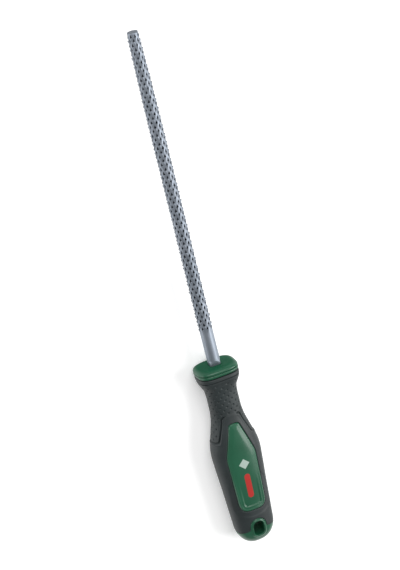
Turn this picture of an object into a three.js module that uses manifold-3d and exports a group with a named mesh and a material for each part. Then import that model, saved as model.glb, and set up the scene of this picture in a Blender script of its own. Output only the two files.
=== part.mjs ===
// A round wood rasp: one steel forging, toothed along most of its length, whose hidden tang is held
// in a two-shot handle of hard green plastic under a soft dark grip. Lengths are in millimetres.
// While it is built, the tool's axis is X, with x = 0 where the blade enters the handle: the blade
// points to +X, the handle to -X, and the front panel of the handle faces +Z.

import * as THREE from "three";
import { mergeVertices } from "three/addons/utils/BufferGeometryUtils.js";
import Module from "manifold-3d";

// Gap between pieces that touch on the real tool.
const clearance = 0.3;

// Blade
const bladeLength = 200;
const stockRadius = 3.75; // round stock, and the roots of the teeth
const plainShankLength = 20;
const tipRadius = 3.05; // roots of the last teeth
const tipTaperLength = 60;
const toothHeight = 0.45;
const toothPitch = 5; // from tooth to tooth along one column
const toothColumns = 16;

// Square heel and tang, forged on the end of the blade
const heelSide = 5.9;
const heelCornerRadius = 1;
const heelAboveGuard = 4;
const heelBelowGuard = 10;
const tangLength = 66; // from the guard to its end
const tangEndWidth = 3.2;
const tangEndDepth = 2.2;

// Handle: widths are across Y, depths across Z, and stations are distances behind the guard's face
const handleLength = 113.5;
const ovalPower = 2.4; // 2 is an ellipse, and more is squarer
const guardPower = 3.3; // the guard and the lip are rounded rectangles

const guardWidth = 24.4;
const guardDepth = 20.2;
const guardRollWidth = 4; // the face rolls over to the rim within this of it
const guardRollHeight = 2.1;
const guardPlateThickness = 2.5;
const guardBandThickness = 2.25;
const guardStep = 0.3; // the band is smaller than the plate by this on every side

const lipWidth = 24.6;
const lipDepth = 20.6;
const lipThickness = 2;

const flareStation = 13.4;
const flareWidth = 20;
const flareDepth = 17;
const waistStation = 24.5;
const waistLength = 6;
const waistWidth = 18.4;
const waistDepth = 15.4;
const swellStation = 43.4;
const swellWidth = 24.9;
const swellDepth = 18.6;
const bellyStation = 55.5;
const bellyWidth = 28.8;
const bellyDepth = 19.6;
const buttWidth = 23.7;
const buttDepth = 17.6;
const buttRounding = 13; // length of the rounded end
const buttRoundPower = 2.25;

const gripThickness = 2.2;

// Front and back panels, which stand a little proud of the grip
const panelStation = 35.5;
const panelTopWidth = 6.4;
const panelShoulderStation = 56;
const panelShoulderWidth = 18;
const panelFootWidth = 16.4;
const panelFootRadius = 5;
const panelToEnd = 23;
const panelRise = 0.4;

// Bare butt with the hang slot
const buttCover = 9; // bare length at the end of the handle
const slotWidth = 6.2;
const slotLength = 9;
const slotCornerRadius = 2.5;
const slotToEnd = 5.7;
const slotRimWidth = 1.9;

// Fineness of the faceted surfaces
const ovalSides = 32;
const curveSteps = 7;
const spanSteps = 3;

const wasm = await Module();
wasm.setup();

// Solids and meshes ------------------------------------------------------------------------------

// A closed geometry as a solid that can be joined and cut.
function solidOf(geometry) {
  const bare = geometry.clone();
  bare.deleteAttribute("normal");
  bare.deleteAttribute("uv");
  const merged = mergeVertices(bare, 1e-4);
  return new wasm.Manifold(
    new wasm.Mesh({
      numProp: 3,
      vertProperties: new Float32Array(merged.attributes.position.array),
      triVerts: new Uint32Array(merged.index.array),
    }),
  );
}

// A solid as a named mesh with its material.
function meshOf(name, solid, look) {
  const made = solid.getMesh();
  const geometry = new THREE.BufferGeometry();
  geometry.setAttribute("position", new THREE.BufferAttribute(made.vertProperties, 3));
  geometry.setIndex(new THREE.BufferAttribute(made.triVerts, 1));
  geometry.computeVertexNormals();
  const mesh = new THREE.Mesh(geometry, new THREE.MeshStandardMaterial(look));
  mesh.name = name;
  return mesh;
}

// An outline in the XY plane, extruded through the whole depth of the handle.
function throughHandle(shape) {
  const depth = 2 * bellyDepth;
  const geometry = new THREE.ExtrudeGeometry(shape, {
    depth,
    bevelEnabled: false,
    curveSegments: curveSteps,
  });
  geometry.translate(0, 0, -depth / 2);
  return solidOf(geometry);
}

// A lathe's Y axis laid along the tool's X axis.
function layAlongTool(geometry) {
  return geometry.rotateZ(-Math.PI / 2);
}

// Oval solids ------------------------------------------------------------------------------------

// Where the grip's lip begins, behind the guard.
const lipStation = guardPlateThickness + guardBandThickness + clearance;

// How square the section is: as the guard's as far as the lip, then easing into the waist's oval.
function powerAt(station) {
  const lipEnd = lipStation + lipThickness;
  const eased = (station - lipEnd) / (flareStation - lipEnd);
  const share = Math.min(1, Math.max(0, eased));
  return guardPower + (ovalPower - guardPower) * share;
}

// One cross-section of the handle: where it is, its half width and half depth, and its power.
function section(station, width, depth) {
  return { x: -station, halfWidth: width / 2, halfDepth: depth / 2, power: powerAt(station) };
}

// A coordinate on a superellipse of unit size, from the cosine or sine of its angle.
function squared(part, power) {
  return Math.sign(part) * Math.abs(part) ** (2 / power);
}

// The solid through a row of sections, closed by a flat face at each end. A lathe gives its rings,
// and each ring is then stretched to the superellipse of its own section.
function ovalSolid(sections) {
  const rings = [...sections].sort((a, b) => a.x - b.x);
  const profile = rings.map((ring) => new THREE.Vector2(ring.halfWidth, ring.x));
  profile.unshift(new THREE.Vector2(0, rings[0].x));
  profile.push(new THREE.Vector2(0, rings[rings.length - 1].x));
  const geometry = new THREE.LatheGeometry(profile, ovalSides);
  const place = geometry.attributes.position;
  for (let i = 0; i < place.count; i += 1) {
    const ring = rings[(i % profile.length) - 1];
    const onAxis = Math.hypot(place.getX(i), place.getZ(i)) === 0;
    if (!ring || onAxis) continue;
    const turn = Math.atan2(place.getZ(i), place.getX(i));
    place.setX(i, ring.halfWidth * squared(Math.cos(turn), ring.power));
    place.setZ(i, ring.halfDepth * squared(Math.sin(turn), ring.power));
  }
  return solidOf(layAlongTool(geometry));
}

// Sections along the grip, from its lip to the start of the rounded butt.
function gripLine() {
  const controls = [
    [lipStation + lipThickness, lipWidth, lipDepth],
    [flareStation, flareWidth, flareDepth],
    [waistStation - waistLength / 2, waistWidth, waistDepth],
    [waistStation + waistLength / 2, waistWidth, waistDepth],
    [swellStation, swellWidth, swellDepth],
    [bellyStation, bellyWidth, bellyDepth],
    [handleLength - buttRounding, buttWidth, buttDepth],
  ];
  const line = new THREE.CatmullRomCurve3(
    controls.map((control) => new THREE.Vector3(...control)),
    false,
    "centripetal",
  );
  const steps = (controls.length - 1) * spanSteps;
  const sections = line.getPoints(steps).map((point) => section(point.x, point.y, point.z));
  return [section(lipStation, lipWidth, lipDepth), ...sections];
}

// Sections of the rounded butt, which closes like a quarter of a superellipse.
function buttLine() {
  const sections = [];
  for (let step = 1; step < curveSteps; step += 1) {
    const along = Math.sin(((step / curveSteps) * Math.PI) / 2);
    const across = (1 - along ** buttRoundPower) ** (1 / buttRoundPower);
    sections.push(
      section(
        handleLength - buttRounding * (1 - along),
        buttWidth * across,
        buttDepth * across,
      ),
    );
  }
  return [...sections, section(handleLength, buttWidth / 5, buttDepth / 5)];
}

// The whole handle behind the guard, made larger by grow on every side, or smaller if it is negative.
function handleSolid(grow) {
  const sections = [...gripLine(), ...buttLine()].map((ring) => ({
    ...ring,
    halfWidth: ring.halfWidth + grow,
    halfDepth: ring.halfDepth + grow,
  }));
  return ovalSolid(sections);
}

// Blade ------------------------------------------------------------------------------------------

// Radius of the toothless stock, drawn in towards the tip along a parabola.
function stockRadiusAt(x) {
  const along = Math.max(0, (x - (bladeLength - tipTaperLength)) / tipTaperLength);
  return stockRadius - (stockRadius - tipRadius) * along ** 2;
}

// Round stock with its teeth. Neighbouring columns of teeth are staggered by half a pitch, and the
// tip's rim and the plain shank carry none.
function toothedStock() {
  const rowGap = toothPitch / 2;
  const shankStart = heelAboveGuard / 2;
  const rows = Math.floor((bladeLength - plainShankLength) / rowGap);
  const profile = [new THREE.Vector2(0, shankStart), new THREE.Vector2(stockRadius, shankStart)];
  for (let row = rows; row >= 0; row -= 1) {
    const x = bladeLength - row * rowGap;
    profile.push(new THREE.Vector2(stockRadiusAt(x), x));
  }
  profile.push(new THREE.Vector2(0, bladeLength));

  const geometry = new THREE.LatheGeometry(profile, 2 * toothColumns);
  const place = geometry.attributes.position;
  for (let i = 0; i < place.count; i += 1) {
    const column = Math.floor(i / profile.length) / 2;
    const row = (i % profile.length) - 2;
    const inToothedRow = row > 0 && row < rows;
    const isTooth = Number.isInteger(column) && (column + row) % 2 === 0;
    if (!inToothedRow || !isTooth) continue;
    const root = profile[row + 2].x;
    const crest = (root + toothHeight) / root;
    place.setX(i, place.getX(i) * crest);
    place.setZ(i, place.getZ(i) * crest);
  }
  return solidOf(layAlongTool(geometry));
}

// A square bar with rounded corners along X.
function squareBar(fromX, toX, side, cornerRadius) {
  const half = side / 2;
  const inner = half - cornerRadius;
  const shape = new THREE.Shape();
  shape.absarc(inner, inner, cornerRadius, 0, Math.PI / 2);
  shape.absarc(-inner, inner, cornerRadius, Math.PI / 2, Math.PI);
  shape.absarc(-inner, -inner, cornerRadius, Math.PI, 1.5 * Math.PI);
  shape.absarc(inner, -inner, cornerRadius, 1.5 * Math.PI, 2 * Math.PI);
  const geometry = new THREE.ExtrudeGeometry(shape, {
    depth: toX - fromX,
    bevelEnabled: false,
    curveSegments: 3,
  });
  geometry.rotateY(Math.PI / 2);
  geometry.translate(fromX, 0, 0);
  return solidOf(geometry);
}

// The forged end: a square heel and the tang that tapers from it. The same shape made larger by grow
// is the socket in the handle.
function heelAndTang(grow) {
  const heel = squareBar(
    -heelBelowGuard - grow,
    heelAboveGuard + grow,
    heelSide + 2 * grow,
    heelCornerRadius + grow,
  );
  const geometry = new THREE.BoxGeometry(tangLength + grow, 1, 1);
  geometry.translate(-(tangLength + grow) / 2, 0, 0);
  const place = geometry.attributes.position;
  const startSide = heelSide - heelCornerRadius + 2 * grow;
  for (let i = 0; i < place.count; i += 1) {
    const isStart = place.getX(i) > -1;
    place.setY(i, place.getY(i) * (isStart ? startSide : tangEndWidth + 2 * grow));
    place.setZ(i, place.getZ(i) * (isStart ? startSide : tangEndDepth + 2 * grow));
  }
  return heel.add(solidOf(geometry));
}

// Handle -----------------------------------------------------------------------------------------

// The guard: a plate whose flat face rolls over to its rim, on a slightly smaller band.
function guardSolid() {
  const sections = [];
  for (let step = 0; step <= 4; step += 1) {
    const turn = ((step / 4) * Math.PI) / 2;
    const inset = guardRollWidth * (1 - Math.sin(turn));
    const station = guardRollHeight * (1 - Math.cos(turn));
    sections.push(section(station, guardWidth - 2 * inset, guardDepth - 2 * inset));
  }
  const bandWidth = guardWidth - 2 * guardStep;
  const bandDepth = guardDepth - 2 * guardStep;
  const edge = 0.2;
  const plateEnd = guardPlateThickness;
  sections.push(section(plateEnd - edge, guardWidth, guardDepth));
  sections.push(section(plateEnd, bandWidth, bandDepth));
  sections.push(section(plateEnd + guardBandThickness, bandWidth, bandDepth));
  return ovalSolid(sections);
}

// Outline of a panel, seen from the front.
function panelOutline(grow) {
  const top = -panelStation + grow;
  const shoulder = -panelShoulderStation;
  const foot = -(handleLength - panelToEnd) - grow;
  const topHalf = panelTopWidth / 2 + grow;
  const shoulderHalf = panelShoulderWidth / 2 + grow;
  const footHalf = panelFootWidth / 2 + grow;
  const footRadius = panelFootRadius + grow;
  const neck = (top + shoulder) / 2;
  const shape = new THREE.Shape();
  shape.moveTo(top, 0);
  shape.quadraticCurveTo(top, topHalf, top - topHalf / 2, topHalf);
  shape.bezierCurveTo(neck, topHalf, neck, shoulderHalf, shoulder, shoulderHalf);
  shape.lineTo(foot + footRadius, footHalf);
  shape.quadraticCurveTo(foot, footHalf, foot, 0);
  shape.quadraticCurveTo(foot, -footHalf, foot + footRadius, -footHalf);
  shape.lineTo(shoulder, -shoulderHalf);
  shape.bezierCurveTo(neck, -shoulderHalf, neck, -topHalf, top - topHalf / 2, -topHalf);
  shape.quadraticCurveTo(top, -topHalf, top, 0);
  return shape;
}

// Middle of the hang slot, along X.
const slotMiddle = -(handleLength - slotToEnd - slotLength / 2);

// Outline of the bare butt: the end of the handle, and the rim round the slot that reaches into the
// grip.
function buttOutline(grow) {
  const border = -(handleLength - buttCover) + grow;
  const beyond = -(handleLength + buttCover);
  const rimRadius = slotWidth / 2 + slotRimWidth + grow;
  const rimMiddle = slotMiddle + slotLength / 2 - slotWidth / 2;
  const shape = new THREE.Shape();
  shape.moveTo(beyond, -buttWidth);
  shape.lineTo(border, -buttWidth);
  shape.lineTo(border, -rimRadius);
  shape.absarc(rimMiddle, 0, rimRadius, -Math.PI / 2, Math.PI / 2);
  shape.lineTo(border, rimRadius);
  shape.lineTo(border, buttWidth);
  shape.lineTo(beyond, buttWidth);
  return shape;
}

// Outline of the hang slot.
function slotOutline() {
  const alongX = slotLength / 2 - slotCornerRadius;
  const alongY = slotWidth / 2 - slotCornerRadius;
  const quarter = Math.PI / 2;
  const shape = new THREE.Shape();
  shape.absarc(slotMiddle + alongX, alongY, slotCornerRadius, 0, quarter);
  shape.absarc(slotMiddle - alongX, alongY, slotCornerRadius, quarter, 2 * quarter);
  shape.absarc(slotMiddle - alongX, -alongY, slotCornerRadius, 2 * quarter, 3 * quarter);
  shape.absarc(slotMiddle + alongX, -alongY, slotCornerRadius, 3 * quarter, 4 * quarter);
  return shape;
}

// The hard core: guard, spine under the grip, both panels and the bare butt, in one moulding. A short
// root joins the guard to the spine.
function coreSolid() {
  const whole = handleSolid(0);
  const spine = handleSolid(-gripThickness);
  const panels = handleSolid(panelRise).intersect(throughHandle(panelOutline(0)));
  const butt = whole.intersect(throughHandle(buttOutline(0)));
  const rootInset = 2 * (gripThickness + clearance);
  const root = ovalSolid([
    section(guardPlateThickness, lipWidth - rootInset, lipDepth - rootInset),
    section(lipStation + lipThickness / 2, lipWidth - rootInset, lipDepth - rootInset),
  ]);
  return guardSolid()
    .add(root)
    .add(spine)
    .add(panels)
    .add(butt)
    .subtract(heelAndTang(clearance))
    .subtract(throughHandle(slotOutline()));
}

// The soft grip, moulded round the core and open over both panels and the butt.
function gripSolid() {
  return handleSolid(0)
    .subtract(handleSolid(clearance - gripThickness))
    .subtract(throughHandle(panelOutline(clearance)))
    .subtract(throughHandle(buttOutline(clearance)));
}

// Assembly ---------------------------------------------------------------------------------------

const tool = new THREE.Group();

tool.add(
  meshOf("rasp_blade", toothedStock().add(heelAndTang(0)), {
    color: 0x98a0aa,
    roughness: 0.42,
    metalness: 1,
  }),
);

tool.add(
  meshOf("handle_core", coreSolid(), {
    color: 0x2f6b50,
    roughness: 0.35,
    metalness: 0,
  }),
);

tool.add(
  meshOf("grip_overmould", gripSolid(), {
    color: 0x3c3f41,
    roughness: 0.75,
    metalness: 0,
  }),
);

// The tool lies on its back panel, with the origin on the bench under the middle of its length.
const extent = new THREE.Box3().setFromObject(tool);
const middle = extent.getCenter(new THREE.Vector3());
tool.position.set(-middle.x, -middle.y, -extent.min.z);

export default tool;
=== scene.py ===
# %% [markdown]
# # A round wood rasp
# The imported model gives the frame: a steel blade, a hard green handle core and a soft dark grip.
# Each is made again here with its fine surface, in the same place and at the same size.
# Every shape is a grid of two parameters worked out with numpy, so a tooth, a bead or a groove is
# just a term that is added to a smooth surface before the grid becomes a mesh.

# %% Load the frame
import math

import bmesh
import bpy
import numpy as np
from mathutils import Matrix, Vector


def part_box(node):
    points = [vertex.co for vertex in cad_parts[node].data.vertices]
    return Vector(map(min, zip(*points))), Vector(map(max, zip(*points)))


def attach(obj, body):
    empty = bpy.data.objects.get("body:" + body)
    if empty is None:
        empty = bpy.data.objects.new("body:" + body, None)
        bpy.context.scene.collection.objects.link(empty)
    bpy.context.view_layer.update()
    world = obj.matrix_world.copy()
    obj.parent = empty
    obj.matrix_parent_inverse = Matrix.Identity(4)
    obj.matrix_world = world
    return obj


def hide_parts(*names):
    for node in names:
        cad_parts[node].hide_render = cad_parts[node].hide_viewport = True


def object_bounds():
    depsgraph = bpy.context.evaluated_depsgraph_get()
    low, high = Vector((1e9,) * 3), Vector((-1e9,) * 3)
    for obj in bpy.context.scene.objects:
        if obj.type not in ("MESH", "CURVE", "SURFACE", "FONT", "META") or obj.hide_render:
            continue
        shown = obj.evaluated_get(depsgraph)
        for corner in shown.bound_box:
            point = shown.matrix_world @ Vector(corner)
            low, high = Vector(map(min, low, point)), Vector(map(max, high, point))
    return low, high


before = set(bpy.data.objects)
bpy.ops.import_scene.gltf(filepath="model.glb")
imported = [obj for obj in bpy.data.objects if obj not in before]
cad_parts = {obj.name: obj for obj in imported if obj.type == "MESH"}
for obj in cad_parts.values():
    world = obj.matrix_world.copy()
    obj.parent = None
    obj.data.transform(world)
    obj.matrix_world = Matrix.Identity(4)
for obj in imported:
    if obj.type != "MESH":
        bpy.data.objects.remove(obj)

CAD_BOX = [list(corner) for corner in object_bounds()]
MM = 0.001
print("CAD box in mm:", [[round(v / MM, 1) for v in corner] for corner in CAD_BOX])

# %% [markdown]
# ## Where things are
# The tool's own axes are handier than the frame's. A *station* is a distance in millimetres behind
# the guard's face, so the blade has negative stations and the handle has positive ones. Across is
# the frame's Y, and up is the height above the blade's centre line. All three are read from the
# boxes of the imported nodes.

# %% Datum of the tool
blade_low, blade_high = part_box("rasp_blade")
core_low, core_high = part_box("handle_core")
grip_low, grip_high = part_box("grip_overmould")

GUARD_X = core_high[0]
AXIS_Z = (blade_low[2] + blade_high[2]) / 2
BLADE_LENGTH = (blade_high[0] - GUARD_X) / MM
HANDLE_LENGTH = (GUARD_X - core_low[0]) / MM
BELLY_WIDTH = (grip_high[1] - grip_low[1]) / MM
GUARD_WIDTH = (core_high[1] - core_low[1]) / MM
TANG_LENGTH = (GUARD_X - blade_low[0]) / MM


def place(station, across, up):
    """Points of the frame in metres, from stations, widths and heights in millimetres."""
    station, across, up = np.broadcast_arrays(station, across, up)
    return np.stack([GUARD_X - station * MM, across * MM, AXIS_Z + up * MM], axis=-1)


print(f"blade {BLADE_LENGTH:.1f} mm, handle {HANDLE_LENGTH:.1f} mm, belly {BELLY_WIDTH:.1f} mm wide")

# %% [markdown]
# ## From grids to meshes
# A grid of points becomes quads between neighbours. A grid may close on itself round the tool, and
# along the tool too when it is a sleeve. Where a whole row meets in one point or one line, the
# doubled points are merged, which closes the pole. The sign of the enclosed volume says whether the
# faces point outwards, and they are turned round if they don't.

# %% Grid to mesh
def grid_quads(rows, columns, close_rows):
    """Quads of a grid that closes across its columns, and across its rows too if asked."""
    last = rows if close_rows else rows - 1
    row, column = np.meshgrid(np.arange(last), np.arange(columns), indexing="ij")
    next_row, next_column = (row + 1) % rows, (column + 1) % columns
    corners = [
        row * columns + column,
        row * columns + next_column,
        next_row * columns + next_column,
        next_row * columns + column,
    ]
    return np.stack(corners, axis=-1).reshape(-1, 4)


def enclosed_volume(points, quads):
    """Sum of a . (b x c) / 6 over the triangles of the quads."""
    a, b, c, d = (points[quads[:, k]] for k in range(4))
    first = np.einsum("ij,ij->i", a, np.cross(b, c))
    second = np.einsum("ij,ij->i", a, np.cross(c, d))
    return (first.sum() + second.sum()) / 6


def grid_piece(name, points, close_rows=False, values=None):
    """A piece from a (rows, columns, 3) grid in metres, with named values on its points if given."""
    rows, columns = points.shape[:2]
    flat = points.reshape(-1, 3)
    quads = grid_quads(rows, columns, close_rows)
    if enclosed_volume(flat - flat.mean(axis=0), quads) < 0:
        quads = quads[:, ::-1]

    mesh = bpy.data.meshes.new(name)
    mesh.vertices.add(len(flat))
    mesh.vertices.foreach_set("co", flat.astype(np.float32).ravel())
    mesh.loops.add(quads.size)
    mesh.loops.foreach_set("vertex_index", quads.ravel().astype(np.int32))
    mesh.polygons.add(len(quads))
    mesh.polygons.foreach_set("loop_start", np.arange(0, quads.size, 4, dtype=np.int32))
    mesh.update(calc_edges=True)
    for key, value in (values or {}).items():
        layer = mesh.attributes.new(key, "FLOAT", "POINT")
        layer.data.foreach_set("value", value.astype(np.float32).ravel())
    weld(mesh)
    mesh.polygons.foreach_set("use_smooth", np.ones(len(mesh.polygons), dtype=bool))

    piece = bpy.data.objects.new(name, mesh)
    bpy.context.scene.collection.objects.link(piece)
    size = (flat.max(axis=0) - flat.min(axis=0)) / MM
    print(f"{name}: {len(mesh.polygons)} faces, {size.round(1)} mm")
    return piece


def weld(mesh):
    """Merges doubled points, so poles and closing seams have no open or flat faces."""
    work = bmesh.new()
    work.from_mesh(mesh)
    bmesh.ops.remove_doubles(work, verts=work.verts, dist=1e-7)
    bmesh.ops.dissolve_degenerate(work, edges=work.edges, dist=1e-8)
    work.to_mesh(mesh)
    work.free()


# %% [markdown]
# ## Curve helpers
# A moulded or forged surface eases from one height to the next. An eased step and a round bump are
# enough for most of the relief below. Sizes known at a few places are joined by cubic spans,
# because one high polynomial would swing between them.

# %% Small curve helpers
def ramp(value, start, end):
    """0 before start, 1 after end, and 3t^2 - 2t^3 between them."""
    t = np.clip((value - start) / (end - start), 0, 1)
    return t * t * (3 - 2 * t)


def hump(value, middle, half_width):
    """A round bump: the cosine squared of a quarter turn at its edges, and 0 outside."""
    t = np.clip(np.abs(value - middle) / half_width, 0, 1)
    return np.cos(t * np.pi / 2) ** 2


def through(knots, values):
    """A smooth function through the knots: cubic Hermite spans whose slopes weigh both neighbours."""
    knots, values = np.asarray(knots, float), np.asarray(values, float)
    gaps = np.diff(knots)
    slopes = np.diff(values) / gaps
    inner = (slopes[:-1] * gaps[1:] + slopes[1:] * gaps[:-1]) / (gaps[:-1] + gaps[1:])
    tangents = np.concatenate([slopes[:1], inner, slopes[-1:]])

    def curve(at):
        at = np.asarray(at, float)
        k = np.clip(np.searchsorted(knots, at) - 1, 0, len(gaps) - 1)
        t = np.clip((at - knots[k]) / gaps[k], 0, 1)
        rise = values[k] * (2 * t**3 - 3 * t**2 + 1) + values[k + 1] * (3 * t**2 - 2 * t**3)
        lean = tangents[k] * (t**3 - 2 * t**2 + t) + tangents[k + 1] * (t**3 - t**2)
        return rise + lean * gaps[k]

    return curve


def steps(*marks):
    """Evenly divided stretches joined end to end: value, count, value, count, ... value."""
    parts = [np.linspace(marks[i], marks[i + 2], marks[i + 1], endpoint=False)
             for i in range(0, len(marks) - 2, 2)]
    return np.concatenate(parts + [[marks[-1]]])


# %% [markdown]
# ## Node materials
# One function turns an sRGB hex value into linear colour, and one adds a node with its settings and
# links. Each finish below is a short graph built from them, on Object coordinates in metres.

# %% Node helpers
def linear(hex_colour):
    """Linear RGBA from an sRGB hex string."""
    parts = [int(hex_colour[i : i + 2], 16) / 255 for i in (1, 3, 5)]
    return tuple(p / 12.92 if p <= 0.04045 else ((p + 0.055) / 1.055) ** 2.4 for p in parts) + (1.0,)


def feed(tree, socket, value):
    """Links an output to the socket, or sets a constant on it."""
    if isinstance(value, bpy.types.NodeSocket):
        tree.links.new(value, socket)
    else:
        socket.default_value = value


def add_node(tree, kind, settings=None, **inputs):
    """Adds a node, sets its properties, and sets or links its inputs by name or by number."""
    node = tree.nodes.new("ShaderNode" + kind)
    for key, value in (settings or {}).items():
        setattr(node, key, value)
    for key, value in inputs.items():
        socket = node.inputs[int(key[1:])] if key[1:].isdigit() else node.inputs[key.replace("_", " ")]
        feed(tree, socket, value)
    return node


def new_material(name):
    """An empty material with its Principled shader, and the Object coordinates."""
    material = bpy.data.materials.new(name)
    material.use_nodes = True
    tree = material.node_tree
    shader = tree.nodes["Principled BSDF"]
    place_of = add_node(tree, "TexCoord").outputs["Object"]
    return material, tree, shader, place_of


def scaled(tree, where, scale):
    """Coordinates stretched by scale = (x, y, z)."""
    return add_node(tree, "Mapping", Vector=where, Scale=scale).outputs["Vector"]


def noise(tree, where, size_mm, detail=2.0, rough=0.5):
    """Noise whose blobs are about size_mm across."""
    made = add_node(tree, "TexNoise", Vector=where, Scale=1 / (size_mm * MM), Detail=detail, Roughness=rough)
    return made.outputs["Fac"]


def remap(tree, value, low, high, to_low, to_high):
    """Value moved from the range low..high to the range to_low..to_high, and held there."""
    made = add_node(tree, "MapRange", Value=value, From_Min=low, From_Max=high, To_Min=to_low, To_Max=to_high)
    return made.outputs["Result"]


def mix(tree, factor, one, two):
    """Colour one blended into colour two."""
    made = add_node(tree, "Mix", {"data_type": "RGBA"}, _0=factor, _6=one, _7=two)
    return made.outputs[2]


def maths(tree, operation, one, two=0.0):
    """One arithmetic step."""
    return add_node(tree, "Math", {"operation": operation}, _0=one, _1=two).outputs["Value"]


def set_finish(tree, shader, bump_height, bump_mm, strength=1.0, **values):
    """Sets the shader's sockets and gives it a bump of bump_mm from the height."""
    for key, value in values.items():
        feed(tree, shader.inputs[key.replace("_", " ")], value)
    made = add_node(tree, "Bump", Height=bump_height, Distance=bump_mm * MM, Strength=strength)
    tree.links.new(made.outputs["Normal"], shader.inputs["Normal"])


# %% [markdown]
# ## Hardened tool steel
# The blade is carbon steel, punched, hardened and blasted clean. It is a dull silver grey, a little
# blue, with long drawing marks. The pits beside the teeth hold some scale, and the shade in them is
# painted: the `pit` value that the blade's grid carries darkens and dulls them. The crests of the
# teeth get painted shade from the same value, and the punched stretch and the sawn end carry a
# little of it too.

# %% Material of the blade
def hardened_steel():
    """Grey steel with lines along its length, rougher where the `pit` value is high and darker there, with
    scale and painted shade.
    """
    material, tree, shader, where = new_material("hardened_carbon_steel_blasted")
    pit = add_node(tree, "Attribute", {"attribute_name": "pit"}).outputs["Fac"]
    drawn = noise(tree, scaled(tree, where, (0.05, 1, 1)), 0.5, 3.0)
    cloud = noise(tree, where, 9.0, 2.0)
    grit = noise(tree, where, 0.35, 2.0)
    tone = remap(tree, cloud, 0.35, 0.65, 0.0, 1.0)
    clean = mix(tree, tone, linear("#929aa4"), linear("#9fa6b0"))
    marked = mix(tree, remap(tree, drawn, 0.4, 0.7, 0.0, 0.4), clean, linear("#7b828c"))
    # Painted shade: a high `pit` value turns the colour nearly black. It stands for scale and shade in the
    # pits, and for shade on the tooth crests.
    colour = mix(tree, remap(tree, pit, 0.0, 0.7, 0.0, 0.95), marked, linear("#15181c"))
    wear = maths(tree, "ADD", remap(tree, drawn, 0.3, 0.7, 0.52, 0.6), remap(tree, pit, 0, 1, 0, 0.25))
    height = maths(tree, "ADD", maths(tree, "MULTIPLY", drawn, 0.6), maths(tree, "MULTIPLY", grit, 0.4))
    set_finish(tree, shader, height, 0.02, Base_Color=colour, Metallic=1.0, Roughness=wear)
    return material


# %% [markdown]
# ## Green polypropylene
# The core is injection moulded. Polypropylene has an IOR near 1.49 and a soft gloss, and the tool
# that moulds it is spark eroded, which leaves a fine even grain. The real grain is about 0.1 mm,
# too fine to show, so it is drawn at 0.25 mm. The eye sees a dark green with a broad soft sheen.
# A smooth shader turns pale where it mirrors the floor at a grazing angle, as on deep walls and the
# guard's flat face. The `dull` value that some grids carry takes the shine away there. It stands in
# for roughness too fine to model, and a piece without it counts as 0.

# %% Materials of the hard plastic
def moulded_green(name, print_colours=False):
    """Green plastic that loses its shine where `dull` is high, with the printed marks if asked."""
    material, tree, shader, where = new_material(name)
    cloud = noise(tree, where, 14.0, 2.0)
    grain = noise(tree, where, 0.25, 2.0)
    colour = mix(tree, remap(tree, cloud, 0.35, 0.65, 0, 1), linear("#184d36"), linear("#1d543c"))
    dull = add_node(tree, "Attribute", {"attribute_name": "dull"}).outputs["Fac"]
    shine = remap(tree, dull, 0.0, 1.0, 0.5, 0.03)
    gloss = maths(tree, "ADD", remap(tree, grain, 0.3, 0.7, 0.28, 0.36), maths(tree, "MULTIPLY", dull, 0.2))
    if print_colours:
        colour, gloss = printed_marks(tree, where, colour, gloss)
    set_finish(tree, shader, grain, 0.006, Base_Color=colour, Metallic=0.0, Roughness=gloss, IOR=1.49,
               Specular_IOR_Level=shine)
    return material


# %% [markdown]
# ## Pad printing
# The front panel carries two printed marks. They are plain shapes with no meaning: a pale diamond
# and a red bar with rounded ends. Each is a distance field in the panel's own plane, so its edge
# stays crisp at any size: |x| + |y| - r for the diamond, and the distance to a segment less the
# half width for the bar. The dry ink is a little duller than the plastic under it.

# %% Printed marks
DIAMOND_STATION, DIAMOND_RADIUS = 60.6, 3.2
BAR_FROM, BAR_TO, BAR_HALF_WIDTH = 67.0, 82.5, 1.7
INK_EDGE, INK_DULLING = 0.12, 0.12


def printed_marks(tree, where, colour, gloss):
    """Lays both inks over the plastic, on the front only. Distances are in millimetres."""
    split = add_node(tree, "SeparateXYZ", Vector=where)
    station = maths(tree, "MULTIPLY", maths(tree, "SUBTRACT", GUARD_X, split.outputs["X"]), 1 / MM)
    across = maths(tree, "ABSOLUTE", maths(tree, "MULTIPLY", split.outputs["Y"], 1 / MM))
    front = remap(tree, split.outputs["Z"], AXIS_Z, AXIS_Z + 1 * MM, 0.0, 1.0)

    along = maths(tree, "ABSOLUTE", maths(tree, "SUBTRACT", station, DIAMOND_STATION))
    diamond = maths(tree, "ADD", along, across)
    diamond_ink = remap(tree, diamond, DIAMOND_RADIUS - INK_EDGE, DIAMOND_RADIUS + INK_EDGE, 1.0, 0.0)

    middle, half = (BAR_FROM + BAR_TO) / 2, (BAR_TO - BAR_FROM) / 2 - BAR_HALF_WIDTH
    from_middle = maths(tree, "ABSOLUTE", maths(tree, "SUBTRACT", station, middle))
    off_end = maths(tree, "MAXIMUM", maths(tree, "SUBTRACT", from_middle, half), 0.0)
    squares = maths(tree, "ADD", maths(tree, "POWER", off_end, 2.0), maths(tree, "POWER", across, 2.0))
    away = maths(tree, "SQRT", squares)
    bar_ink = remap(tree, away, BAR_HALF_WIDTH - INK_EDGE, BAR_HALF_WIDTH + INK_EDGE, 1.0, 0.0)

    diamond_ink = maths(tree, "MULTIPLY", diamond_ink, front)
    bar_ink = maths(tree, "MULTIPLY", bar_ink, front)
    colour = mix(tree, diamond_ink, colour, linear("#9dafa6"))
    colour = mix(tree, bar_ink, colour, linear("#a5231c"))
    inked = maths(tree, "MAXIMUM", diamond_ink, bar_ink)
    gloss = maths(tree, "ADD", gloss, maths(tree, "MULTIPLY", inked, INK_DULLING))
    return colour, gloss


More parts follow.
